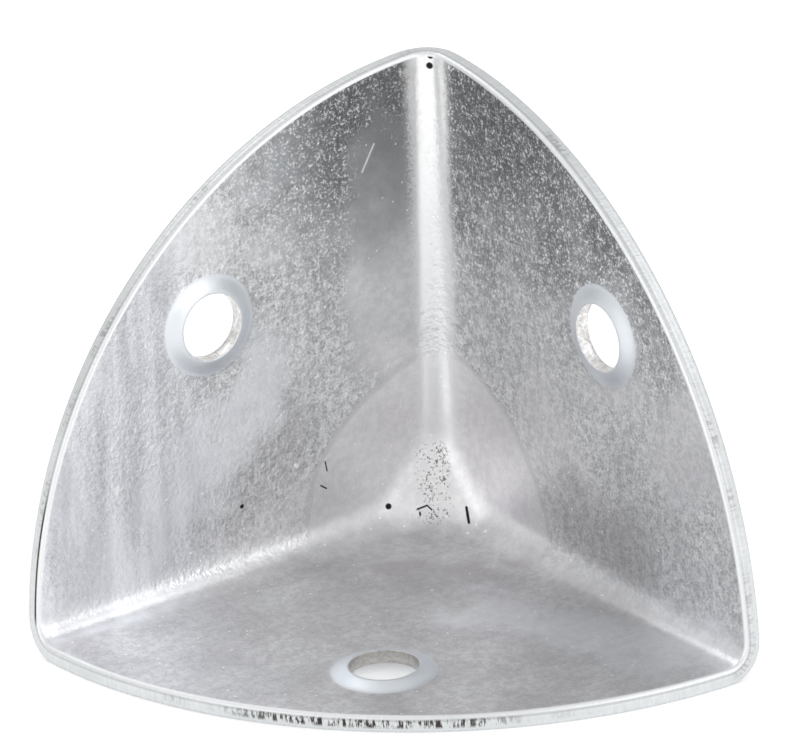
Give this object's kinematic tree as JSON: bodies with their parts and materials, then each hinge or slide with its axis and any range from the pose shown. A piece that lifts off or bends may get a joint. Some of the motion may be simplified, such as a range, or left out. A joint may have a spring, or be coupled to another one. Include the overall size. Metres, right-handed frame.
{
  "type": "box corner",
  "caption": "Pressed steel corner for a box or chest: arc-edged wings at right angles with rounded folds, a blunt flattened nose and dimpled countersunk screw holes.",
  "frame": {"origin": "the box's own corner point, where the planes of the three inner faces meet; the sheet lies outside it", "axes": "+X, +Y and +Z run along the three folds, away from the nose; the XY wing lies flat on the floor"},
  "size_m": [0.03, 0.03, 0.03],
  "materials": {
    "plated_steel": "bright zinc plate, slightly grainy, burnished round the nose"
  },
  "bodies": {
    "root": {"corner": "plated_steel"}
  },
  "joints": []
}
